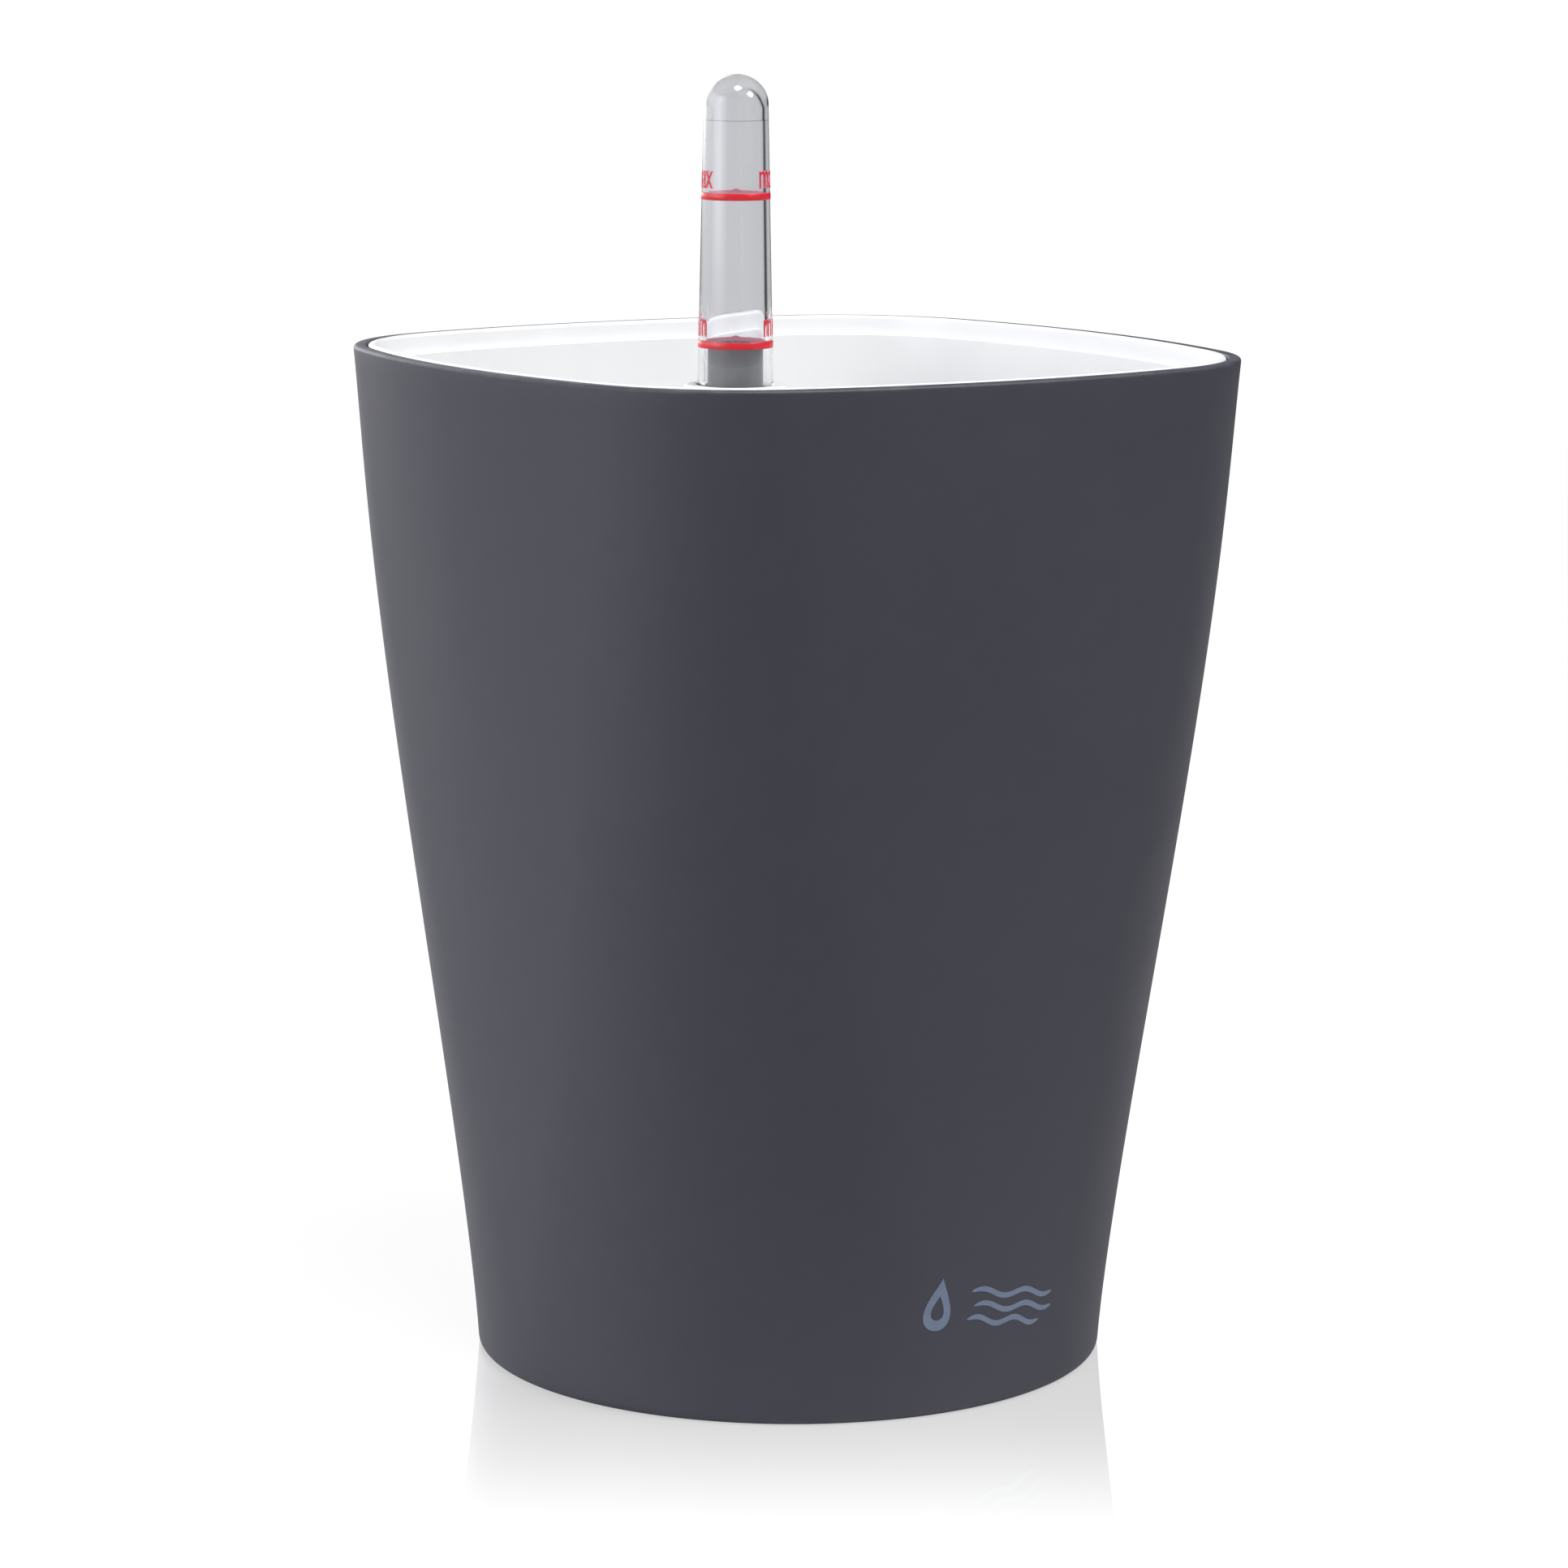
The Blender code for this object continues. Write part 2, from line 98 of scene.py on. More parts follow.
BASKET_RADIUS = 22 * MM
BASKET_FOOT = 19 * MM
BASKET_WALL = 1.6 * MM
BASKET_SLOTS = 12
BASKET_SLOT_WIDTH = 2.6 * MM
BASKET_SLOT_LENGTH = 22 * MM
BASKET_SLOT_MIDDLE = 25 * MM
BASKET_HOLE = 2.0 * MM
BASKET_HOLES = 6                    # round one in the middle
BASKET_HOLE_RING = 10 * MM

MARK_HEIGHT = 18.4 * MM             # middle of the printed mark
MARK_OFFSET = 4.8 * MM              # to the right of the middle of the -Y side
MARK_TILT = radians(-9.5)
MARK_INK = 0.03 * MM
DROP_PLACE = -11.0 * MM
DROP_SIZE = 7.6 * MM
DROP_HOLE_SIZE = 3.6 * MM
DROP_HOLE_HEIGHT = -0.6 * MM
WAVES = ((-4.5 * MM, 19.5 * MM), (-3.5 * MM, 19.0 * MM), (-4.5 * MM, 17.0 * MM))    # starts, lengths
WAVE_SPACING = 2.5 * MM
WAVE_SWING = 0.55 * MM
WAVE_STROKE = 1.0 * MM

INDICATOR_AXIS = ((sight_low.x + sight_high.x) / 2, (sight_low.y + sight_high.y) / 2)
DOME_TOP = sight_high.z
DOME_RADIUS = 5.4 * MM
DOME_RISE = 4.9 * MM
DOME_WALL = 1.6 * MM
SIGHT_TAPER = 0.0207
SPIGOT_RADIUS = 6.1 * MM
SPIGOT_TOP = shaft_high.z + GAP
SIGHT_BORE = 5.25 * MM
BORE_TAPER = 0.0131
BORE_TOP = 222 * MM                 # a small step, and the dome's hollow above it
SHAFT_RADIUS = 6.7 * MM
SHAFT_BORE = 5.45 * MM
COLLAR_RADIUS = 8.7 * MM
SOCKET_RADIUS = 6.4 * MM
SOCKET_DEPTH = 8 * MM
SHOULDER_HEIGHT = 2 * MM
INLET_WIDTH = 2 * MM
INLET_LENGTH = 14 * MM
INLET_MIDDLE = 20 * MM
FOOT_FLANGE = 6.5 * MM
FOOT_SPIGOT = 5.15 * MM
FOOT_HOLE = 2.0 * MM
FLOAT_WALL = 0.5 * MM
FLOAT_ROOF = 2 * MM
FLOAT_DISH = 0.7 * MM               # the float's top is hollowed this deep
MAX_RING = 209.5 * MM
MIN_RING = 184.85 * MM
RING_HEIGHT = 1.15 * MM
LETTER_SIZE = 6.3 * MM
LETTER_GAP = 0.8 * MM
LETTER_WIDTH = 0.6                  # narrowed to this share of the font's width
LETTER_INK = 0.06 * MM
INK_GAP = 0.015 * MM                # keeps the ink's back off the tube
WORD_TURN = radians(16)             # the words face this far forward of the tube's two sides
SEAM_RISE = 0.3 * MM                # the ink is taller where a ring's print starts and ends
SEAM_HALF_WIDTH = 1.1 * MM

CAMERA_HEADING = 0.5729             # radians from +Y towards +X; the tube's print is lined up with it

SHARP_ANGLE = 35                    # degrees; edges bent more than this are shaded sharp
AROUND = 256                        # points around the pot and the liner
TURNED = 72                         # points around a turned piece
TURNED_FINE = 128                   # and around the sight tube and its rings
WELD = 0.002 * MM                   # points of a flat mesh closer than this are one


# ---------------------------------------------------------------- mesh tools
def mix(low, high, t):
    return low + (high - low) * t


def smooth(t):
    return t * t * (3 - 2 * t)


def arc(centre, radii, start, end, steps):
    """Points (x, z) on an ellipse's arc, angles in degrees from +X towards +Z."""
    angles = [radians(mix(start, end, step / steps)) for step in range(steps + 1)]
    return [(centre[0] + radii[0] * cos(angle), centre[1] + radii[1] * sin(angle)) for angle in angles]


def levels(start, end, spacing):
    """Heights from start to end, both left out, about a spacing apart."""
    count = max(1, round(abs(end - start) / spacing))
    return [mix(start, end, step / count) for step in range(1, count)]


class Outline:
    """The pot's outline at a height: a rounded square of side arcs and corner arcs."""

    def __init__(self, height):
        u = min(max(height / POT_HEIGHT, 0), 1)
        half = mix(FOOT_RADIUS, MOUTH_HALF, u) - u * (1 - u) * (WIDTH_SAG + WIDTH_SKEW * (1 - 2 * u))
        self.corner = mix(FOOT_RADIUS, MOUTH_CORNER, smooth(u ** CORNER_POWER))
        self.side = 1 / mix(1 / FOOT_BOW, 1 / MOUTH_BOW, smooth(u ** BOW_POWER))
        self.side_centre = half - self.side
        straight = sqrt(2 * (self.side - self.corner) ** 2 - self.side_centre ** 2)
        self.corner_centre = (self.side_centre + straight) / 2
        self.bend = atan2(self.corner_centre, self.corner_centre - self.side_centre)
        self.half_side = self.side * self.bend
        self.quarter = 2 * self.half_side + self.corner * (pi / 2 - 2 * self.bend)

    def at(self, distance):
        """Point and outward normal at a distance along the outline from the middle of the +X side."""
        turn, along = divmod(distance, self.quarter)
        if along <= self.half_side:
            angle = along / self.side
            point = (self.side_centre + self.side * cos(angle), self.side * sin(angle))
        elif along < self.quarter - self.half_side:
            angle = self.bend + (along - self.half_side) / self.corner
            point = (self.corner_centre + self.corner * cos(angle),
                     self.corner_centre + self.corner * sin(angle))
        else:
            angle = pi / 2 - (self.quarter - along) / self.side
            point = (self.side * cos(angle), self.side_centre + self.side * sin(angle))
        rotation = Matrix.Rotation(turn * pi / 2, 3, "Z")
        return rotation @ Vector((*point, 0)), rotation @ Vector((cos(angle), sin(angle), 0))

    def ring(self, inset, height):
        """Evenly spaced points, moved inwards by the inset."""
        points = []
        for index in range(AROUND):
            point, normal = self.at(self.quarter * 4 * index / AROUND)
            points.append(point - normal * inset + Vector((0, 0, height)))
        return points


def shade(mesh, sharp=SHARP_ANGLE):
    mesh.shade_smooth()
    mesh.set_sharp_from_angle(angle=radians(sharp))


def new_object(name, mesh, material, sharp=SHARP_ANGLE):
    piece = bpy.data.objects.new(name, mesh)
    bpy.context.scene.collection.objects.link(piece)
    if material:
        mesh.materials.clear()
        mesh.materials.append(material)
    shade(mesh, sharp)
    return piece


def mesh_of(name, shape):
    mesh = bpy.data.meshes.new(name)
    shape.to_mesh(mesh)
    shape.free()
    return mesh


def lofted_shell(name, stations, material):
    """Closed shell through the pot's outline at each (inset, height) station."""
    shape = bmesh.new()
    rings = [[shape.verts.new(point) for point in Outline(height).ring(inset, height)]
             for inset, height in stations]
    for lower, upper in zip(rings, rings[1:]):
        for index in range(AROUND):
            following = (index + 1) % AROUND
            shape.faces.new((lower[index], lower[following], upper[following], upper[index]))
    shape.faces.new(reversed(rings[0]))
    shape.faces.new(rings[-1])
    return new_object(name, mesh_of(name, shape), material)


def turned_piece(name, profile, material, axis=(0, 0), sides=TURNED, sharp=SHARP_ANGLE):
    """Solid of revolution. The (radius, height) profile runs down the outside and up the bore, and
    it is closed unless both its ends lie on the axis."""
    shape = bmesh.new()
    rings = []
    for radius, height in profile:
        if radius < 1e-7:
            rings.append([shape.verts.new((axis[0], axis[1], height))])
        else:
            rings.append([shape.verts.new((axis[0] + x, axis[1] + y, height))
                          for x, y in ring_of_points(sides, radius)])
    pairs = list(zip(rings, rings[1:]))
    if len(rings[0]) > 1:
        pairs.append((rings[-1], rings[0]))
    for upper, lower in pairs:
        for index in range(sides):
            following = (index + 1) % sides
            if len(upper) == 1:
                shape.faces.new((upper[0], lower[index], lower[following]))
            elif len(lower) == 1:
                shape.faces.new((upper[following], upper[index], lower[0]))
            else:
                shape.faces.new((upper[following], upper[index], lower[index], lower[following]))
    return new_object(name, mesh_of(name, shape), material, sharp)


def box_cutter(boxes):
    """One cutter of several boxes: each is a size, a centre and a turn about Z."""
    shape = bmesh.new()
    for size, centre, turn in boxes:
        place = Matrix.Rotation(turn, 4, "Z") @ Matrix.Translation(centre) @ Matrix.Diagonal((*size, 1))
        bmesh.ops.create_cube(shape, size=1, matrix=place)
    return new_object("cutter", mesh_of("cutter", shape), None)


def hole_cutter(holes, bottom, top, sides=48):
    """One cutter of several upright cylinders: each is a radius and an (x, y) centre."""
    shape = bmesh.new()
    for radius, (x, y) in holes:
        bmesh.ops.create_cone(shape, cap_ends=True, segments=sides, radius1=radius, radius2=radius,
                              depth=top - bottom, matrix=Matrix.Translation((x, y, (top + bottom) / 2)))
    return new_object("cutter", mesh_of("cutter", shape), None)


def evaluated_mesh(thing):
    return bpy.data.meshes.new_from_object(thing.evaluated_get(bpy.context.evaluated_depsgraph_get()))


def combine(piece, cutter, operation="DIFFERENCE"):
    """Applies a Boolean and removes the cutter."""
    boolean = piece.modifiers.new("combine", "BOOLEAN")
    boolean.operation = operation
    boolean.solver = "EXACT"
    boolean.object = cutter
    mesh = evaluated_mesh(piece)
    piece.modifiers.clear()
    piece.data = mesh
    shade(mesh)
    bpy.data.objects.remove(cutter, do_unlink=True)


def ring_of_points(count, radius):
    angles = [2 * pi * index / count for index in range(count)]
    return [(radius * cos(angle), radius * sin(angle)) for angle in angles]


# ---------------------------------------------------------------- material tools
def add_node(tree, kind, inputs=None, **settings):
    """A node with its settings and its inputs, which are values or other nodes' outputs."""
    node = tree.nodes.new(kind)
    for name, value in settings.items():
        setattr(node, name, value)
    for name, value in (inputs or {}).items():
        if isinstance(value, bpy.types.NodeSocket):
            tree.links.new(value, node.inputs[name])
        else:
            node.inputs[name].default_value = value
    return node


def blank_material(name):
    material = bpy.data.materials.new(name)
    material.use_nodes = True
    tree = material.node_tree
    return material, tree, tree.nodes["Principled BSDF"]


def object_position(tree, stretch=(1, 1, 1)):
    place = add_node(tree, "ShaderNodeTexCoord").outputs["Object"]
    return add_node(tree, "ShaderNodeMapping", {"Vector": place, "Scale": stretch}).outputs["Vector"]


def noise(tree, place, scale, detail=2.0, roughness=0.5, distortion=0.0):
    inputs = {"Vector": place, "Scale": scale, "Detail": detail, "Roughness": roughness,
              "Distortion": distortion}
    return add_node(tree, "ShaderNodeTexNoise", inputs).outputs["Fac"]


def remap(tree, value, from_low, from_high, to_low, to_high):
    inputs = {"Value": value, "From Min": from_low, "From Max": from_high, "To Min": to_low,
              "To Max": to_high}
    return add_node(tree, "ShaderNodeMapRange", inputs).outputs["Result"]


def soft_step(tree, value, from_low, from_high, to_low, to_high):
    """The same as remap, with a smooth start and end."""
    inputs = {"Value": value, "From Min": from_low, "From Max": from_high, "To Min": to_low,
              "To Max": to_high}
    node = add_node(tree, "ShaderNodeMapRange", inputs, interpolation_type="SMOOTHSTEP")
    return node.outputs["Result"]


def math_node(tree, operation, first, second):
    return add_node(tree, "ShaderNodeMath", {0: first, 1: second}, operation=operation).outputs["Value"]


def multiply(tree, first, second):
    return math_node(tree, "MULTIPLY", first, second)


def blend_colors(tree, factor, first, second):
    node = add_node(tree, "ShaderNodeMix", data_type="RGBA")
    tree.links.new(factor, node.inputs["Factor"])
    for socket, value in ((node.inputs["A"], first), (node.inputs["B"], second)):
        if isinstance(value, bpy.types.NodeSocket):
            tree.links.new(value, socket)
        else:
            socket.default_value = (*value, 1)
    return node.outputs["Result"]


def bump(tree, height, strength, distance, normal=None):
    inputs = {"Height": height, "Strength": strength, "Distance": distance}
    if normal:
        inputs["Normal"] = normal
    return add_node(tree, "ShaderNodeBump", inputs).outputs["Normal"]


def specks(tree, place, scale, size, share):
    """1 on small spots in a share of the cells of a regular scatter, 0 elsewhere."""
    cells = add_node(tree, "ShaderNodeTexVoronoi", {"Vector": place, "Scale": scale})
    spot = remap(tree, cells.outputs["Distance"], size * 0.6, size, 1, 0)
    chosen = remap(tree, cells.outputs["Color"], 1 - share, 1 - share + 0.01, 0, 1)
    return multiply(tree, spot, chosen)


def set_shader(shader, **values):
    for name, value in values.items():
        shader.inputs[name.replace("_", " ")].default_value = value


# ---------------------------------------------------------------- materials
def pot_plastic():
    """Fine matt dark slate: spark-eroded grain, faint clouds, dust specks, and a rim that is lighter in
    patches: partly wear, partly a painted highlight.
    """
    material, tree, shader = blank_material("pot_plastic")
    place = object_position(tree)
    clouds = noise(tree, place, 22, 4, 0.55, 0.6)
    mottle = noise(tree, place, 190, 3, 0.6)
    grain = noise(tree, place, 3300, 2, 0.7)
    color = blend_colors(tree, remap(tree, clouds, 0.3, 0.7, 0, 1), (0.0420, 0.0420, 0.0605),
                         (0.0470, 0.0470, 0.0670))
    color = blend_colors(tree, remap(tree, mottle, 0.35, 0.75, 0, 0.35), color, (0.0510, 0.0510, 0.0720))
    dust = specks(tree, object_position(tree, (1, 1, 0.6)), 85, 0.030, 0.16)
    color = blend_colors(tree, multiply(tree, dust, 0.5), color, (0.16, 0.16, 0.17))
    height = add_node(tree, "ShaderNodeSeparateXYZ", {"Vector": place}).outputs["Z"]
    # The rim's top 0.9 mm is lighter in noisy patches: partly wear, partly a painted highlight where the
    # rim catches light from above.
    at_rim = remap(tree, height, POT_HEIGHT - 0.9 * MM, POT_HEIGHT - 0.1 * MM, 0, 1)
    at_foot = remap(tree, height, 1.6 * MM, 0.2 * MM, 0, 1)
    rim_wear_and_highlight = multiply(tree, remap(tree, noise(tree, place, 150, 5, 0.7), 0.45, 0.65, 0.0, 1), at_rim)
    color = blend_colors(tree, multiply(tree, rim_wear_and_highlight, 0.5), color, (0.12, 0.121, 0.13))
    scuffed = multiply(tree, remap(tree, noise(tree, place, 240, 5, 0.7), 0.5, 0.65, 0, 1), at_foot)
    color = blend_colors(tree, multiply(tree, scuffed, 0.35), color, (0.11, 0.11, 0.12))
    tree.links.new(color, shader.inputs["Base Color"])
    roughness = remap(tree, clouds, 0.25, 0.75, 0.50, 0.60)
    tree.links.new(roughness, shader.inputs["Roughness"])
    fine = bump(tree, grain, 0.35, 0.03 * MM)
    tree.links.new(bump(tree, mottle, 0.10, 0.06 * MM, fine), shader.inputs["Normal"])
    set_shader(shader, Specular_IOR_Level=0.52)
    return material


def white_plastic(name, low, high, rough_low, rough_high, scale=1.0):
    """Satin white plastic with faint flow marks and fine pitting."""
    material, tree, shader = blank_material(name)
    place = object_position(tree)
    flow = noise(tree, object_position(tree, (1, 1, 0.35)), 45 * scale, 3, 0.5, 0.4)
    color = blend_colors(tree, remap(tree, flow, 0.3, 0.7, 0, 1), low, high)
    dust = specks(tree, place, 120, 0.035, 0.10)
    color = blend_colors(tree, multiply(tree, dust, 0.25), color, (0.55, 0.54, 0.52))
    tree.links.new(color, shader.inputs["Base Color"])
    tree.links.new(remap(tree, flow, 0.3, 0.7, rough_low, rough_high), shader.inputs["Roughness"])
    fine = bump(tree, noise(tree, place, 2600, 2, 0.6), 0.12, 0.02 * MM)
    tree.links.new(bump(tree, flow, 0.10, 0.1 * MM, fine), shader.inputs["Normal"])
    return material


def clear_plastic():
    """Clear moulded plastic: faint draw lines along the tube and light scuffs."""
    material, tree, shader = blank_material("clear_plastic")
    lines = noise(tree, object_position(tree, (1, 1, 0.012)), 900, 2, 0.5)
    scuffs = noise(tree, object_position(tree), 420, 4, 0.7)
    tree.links.new(bump(tree, lines, 0.30, 0.03 * MM), shader.inputs["Normal"])
    tree.links.new(remap(tree, scuffs, 0.45, 0.75, 0.015, 0.07), shader.inputs["Roughness"])
    streaks = noise(tree, object_position(tree, (1, 1, 0.02)), 420, 2, 0.6)
    color = blend_colors(tree, remap(tree, streaks, 0.35, 0.65, 0, 1), (0.935, 0.938, 0.962),
                         (0.985, 0.985, 0.995))
    tree.links.new(color, shader.inputs["Base Color"])
    set_shader(shader, Transmission_Weight=1.0, IOR=1.49)
    return material


def float_plastic():
    """Grey satin plastic with draw lines along the rod."""
    material, tree, shader = blank_material("float_plastic")
    lines = noise(tree, object_position(tree, (1, 1, 0.02)), 1400, 3, 0.6)
    patches = noise(tree, object_position(tree), 160, 4, 0.6)
    color = blend_colors(tree, patches, (0.275, 0.278, 0.287), (0.330, 0.333, 0.342))
    tree.links.new(color, shader.inputs["Base Color"])
    tree.links.new(remap(tree, patches, 0.3, 0.7, 0.28, 0.42), shader.inputs["Roughness"])
    fine = bump(tree, noise(tree, object_position(tree), 2800, 2, 0.6), 0.10, 0.02 * MM)
    tree.links.new(bump(tree, lines, 0.15, 0.03 * MM, fine), shader.inputs["Normal"])
    return material


def ink(name, low, high, roughness, scale, back=None):
    """Screen-printed ink with slightly uneven cover. On the sight tube its back, which shows through the
    tube, can have a lighter colour and a faint glow: painted light standing in for light that shines
    through the ink."""
    material, tree, shader = blank_material(name)
    place = object_position(tree)
    cover = noise(tree, place, scale, 4, 0.65)
    color = blend_colors(tree, remap(tree, cover, 0.3, 0.7, 0, 1), low, high)
    if back:
        outwards = add_node(tree, "ShaderNodeVectorMath", {0: place, 1: (*INDICATOR_AXIS, 0)},
                            operation="SUBTRACT").outputs["Vector"]
        outwards = add_node(tree, "ShaderNodeVectorMath", {0: outwards, 1: (1, 1, 0)},
                            operation="MULTIPLY").outputs["Vector"]
        normal = add_node(tree, "ShaderNodeTexCoord").outputs["Normal"]
        facing = add_node(tree, "ShaderNodeVectorMath", {0: outwards, 1: normal},
                          operation="DOT_PRODUCT").outputs["Value"]
        behind = math_node(tree, "LESS_THAN", facing, 0)
        # The back faces get a lighter colour and a faint emitted glow: painted light for light shining
        # through the ink.
        color = blend_colors(tree, behind, color, back)
        shader.inputs["Emission Color"].default_value = (*back, 1)
        tree.links.new(multiply(tree, behind, 0.35), shader.inputs["Emission Strength"])
    tree.links.new(color, shader.inputs["Base Color"])
    tree.links.new(remap(tree, cover, 0.3, 0.7, roughness - 0.06, roughness + 0.06),
                   shader.inputs["Roughness"])
    tree.links.new(bump(tree, cover, 0.15, 0.02 * MM), shader.inputs["Normal"])
    return material


# ---------------------------------------------------------------- pot and liner
def make_outer_pot(material):
    """Dark cachepot: foot ring round a hollow underside with a gate mark in its middle, outer wall,
    rim, and the ledge inside that carries the liner."""
    edge = 0.6 * MM
    inner_edge = 0.25 * MM
    small_edge = 0.2 * MM
    foot_edge = 1.4 * MM
    ring_edge = 0.3 * MM
    recess_fillet = 1.0 * MM
    fillet = 2.0 * MM
    recess_inset = FOOT_RADIUS - RECESS_RADIUS
    gate = 3.0 * MM
    stations = [(FOOT_RADIUS - gate * 0.9, RECESS_DEPTH - 0.5 * MM),
                (FOOT_RADIUS - gate, RECESS_DEPTH - 0.3 * MM), (FOOT_RADIUS - gate * 1.1, RECESS_DEPTH)]
    stations += [(recess_inset + inset, height) for inset, height in
                 arc((recess_fillet, RECESS_DEPTH - recess_fillet), (recess_fillet, recess_fillet),
                     90, 180, 5)]
    stations += [(recess_inset - ring_edge + x, z) for x, z in
                 arc((0, ring_edge), (ring_edge, ring_edge), 0, -90, 3)]
    stations += [(foot_edge + x, z) for x, z in
                 arc((0, foot_edge), (foot_edge, foot_edge), -90, -180, 8)]
    stations += [(0, z) for z in levels(foot_edge, POT_HEIGHT - edge, 3.2 * MM)]
    stations += [(edge + x, z) for x, z in arc((0, POT_HEIGHT - edge), (edge, edge), 180, 90, 6)]
    stations += arc((RIM_WALL - inner_edge, POT_HEIGHT - inner_edge), (inner_edge, inner_edge), 90, 0, 3)
    stations += [(RIM_WALL, LEDGE_HEIGHT + small_edge), (RIM_WALL + small_edge, LEDGE_HEIGHT)]
    ledge = RIM_WALL + LEDGE_WIDTH
    stations += arc((ledge - inner_edge, LEDGE_HEIGHT - inner_edge), (inner_edge, inner_edge), 90, 0, 3)
    band_bottom = LEDGE_HEIGHT - LEDGE_BAND
    stations += [(mix(ledge, POT_WALL, smooth((LEDGE_HEIGHT - z) / LEDGE_BAND)), z)
                 for z in levels(LEDGE_HEIGHT, band_bottom, 3 * MM)]
    stations += [(POT_WALL, z) for z in levels(band_bottom, POT_FLOOR + fillet, 6 * MM)]
    stations += [(POT_WALL + fillet + x, z) for x, z in
                 arc((0, POT_FLOOR + fillet), (fillet, fillet), 180, 270, 8)]
    return lofted_shell("outer_pot_shell", stations, material)


def liner_inset(height):
    return LINER_INSET + LINER_DRAFT * (LEDGE_HEIGHT - height) / (LEDGE_HEIGHT - liner_low.z)


def make_inner_pot(material):
    """White planting liner: lip, collar with a step inside, wall, and a floor with the indicator's
    boss, the basket's opening and drain holes."""
    bottom = liner_low.z
    top = liner_high.z
    floor_top = bottom + LINER_FLOOR
    bottom_inset = liner_inset(bottom)
    inner_fillet = LINER_FILLET - LINER_WALL
    lip_round = LIP_WALL * 0.4
    lip_inner = LIP_INSET + LIP_WALL
    small = 0.3 * MM
    step_height = top - COLLAR_STEP
    step_inset = liner_inset(LEDGE_HEIGHT) + LINER_WALL
    step_edge = 0.07 * MM
    stations = arc((bottom_inset + LINER_FILLET, bottom + LINER_FILLET), (LINER_FILLET, LINER_FILLET),
                   270, 180, 8)
    stations += [(liner_inset(z), z) for z in levels(bottom + LINER_FILLET, COLLAR_BOTTOM, 4 * MM)]
    stations += [(liner_inset(LEDGE_HEIGHT), COLLAR_BOTTOM)]
    stations += arc((LIP_INSET + small, COLLAR_BOTTOM + small), (small, small), 270, 180, 3)
    stations += arc((LIP_INSET + lip_round, top - lip_round), (lip_round, lip_round), 180, 90, 6)
    stations += arc((lip_inner - lip_round, top - lip_round), (lip_round, lip_round), 90, 0, 6)
    stations += [(lip_inner, step_height + step_edge), (lip_inner + step_edge, step_height),
                 (step_inset - step_edge, step_height), (step_inset, step_height - step_edge)]
    stations += [(liner_inset(z) + LINER_WALL, z)
                 for z in levels(step_height - step_edge, floor_top + inner_fillet, 4 * MM)]
    stations += arc((bottom_inset + LINER_WALL + inner_fillet, floor_top + inner_fillet),
                    (inner_fillet, inner_fillet), 180, 270, 8)
    liner = lofted_shell("inner_pot_shell", stations, material)

    boss_fillet = 2.5 * MM
    boss_round = 0.7 * MM
    sunk = 0.05 * MM
    boss_bottom = floor_top - 0.5 * MM
    profile = [(0, BOSS_TOP)]
    profile += arc((BOSS_RADIUS - boss_round, BOSS_TOP - boss_round), (boss_round, boss_round), 90, 0, 4)
    profile += arc((BOSS_RADIUS + boss_fillet, floor_top + boss_fillet - sunk),
                   (boss_fillet, boss_fillet), 180, 270, 6)
    profile += [(BOSS_RADIUS + boss_fillet, boss_bottom), (0, boss_bottom)]
    boss = turned_piece("boss", profile, None, INDICATOR_AXIS)
    combine(liner, boss, "UNION")
    reach = 5 * MM
    below, above = bottom - reach, BOSS_TOP + reach
    combine(liner, hole_cutter([(BOSS_BORE, INDICATOR_AXIS)], below, above, 64))
    combine(liner, hole_cutter([(BASKET_OPENING, (0, 0))], below, above, 96))
    drains = [(DRAIN_RADIUS, (x, y)) for x, y in ring_of_points(DRAINS, DRAIN_RING)
              if hypot(x - INDICATOR_AXIS[0], y - INDICATOR_AXIS[1]) > BOSS_RADIUS + DRAIN_RADIUS]
    combine(liner, hole_cutter(drains, below, above, 32))
    return liner


# ---------------------------------------------------------------- wicking basket
def make_basket(material):
    """Slotted cup that hangs by its flange in the liner's floor."""
    wall, outer, foot = BASKET_WALL, BASKET_RADIUS, BASKET_FOOT
    flange = basket_high.x
    top, bottom = basket_high.z, basket_low.z
    flange_bottom = top - wall
    inner_floor = bottom + wall
    small = 0.4 * MM
    fillet = 1.5 * MM
    profile = [(0, inner_floor)]
    profile += arc((foot - wall - fillet, inner_floor + fillet), (fillet, fillet), 270, 360, 6)
    profile += [(outer - wall, top - 0.8 * MM), (outer - wall * 0.6, top - 0.15 * MM),
                (outer - wall * 0.3, top)]
    profile += arc((flange - small, top - small), (small, small), 90, 0, 4)
    profile += arc((flange - small, flange_bottom + small), (small, small), 0, -90, 4)
    profile += [(outer, flange_bottom)]
    profile += [(mix(outer, foot, t / 6), mix(flange_bottom, inner_floor, t / 6)) for t in range(1, 6)]
    profile += arc((foot - wall, bottom + wall), (wall, wall), 0, -90, 6)
    profile += [(0, bottom)]
    basket = turned_piece("wicking_basket_cup", profile, material, sides=2 * TURNED)
    slot_size = Vector((12 * MM, BASKET_SLOT_WIDTH, BASKET_SLOT_LENGTH))
    slot_centre = Vector((outer, 0, BASKET_SLOT_MIDDLE))
    turns = [2 * pi * index / BASKET_SLOTS for index in range(BASKET_SLOTS)]
    combine(basket, box_cutter([(slot_size, slot_centre, turn) for turn in turns]))
    holes = [(BASKET_HOLE, place) for place in [(0, 0)] + ring_of_points(BASKET_HOLES, BASKET_HOLE_RING)]
    reach = 2 * MM
    combine(basket, hole_cutter(holes, bottom - reach, inner_floor + reach, 32))
    return basket


# ---------------------------------------------------------------- water level indicator
def sight_radius(height):
    """Outer radius of the sight tube below its dome."""
    return DOME_RADIUS + SIGHT_TAPER * (DOME_TOP - DOME_RISE - height)


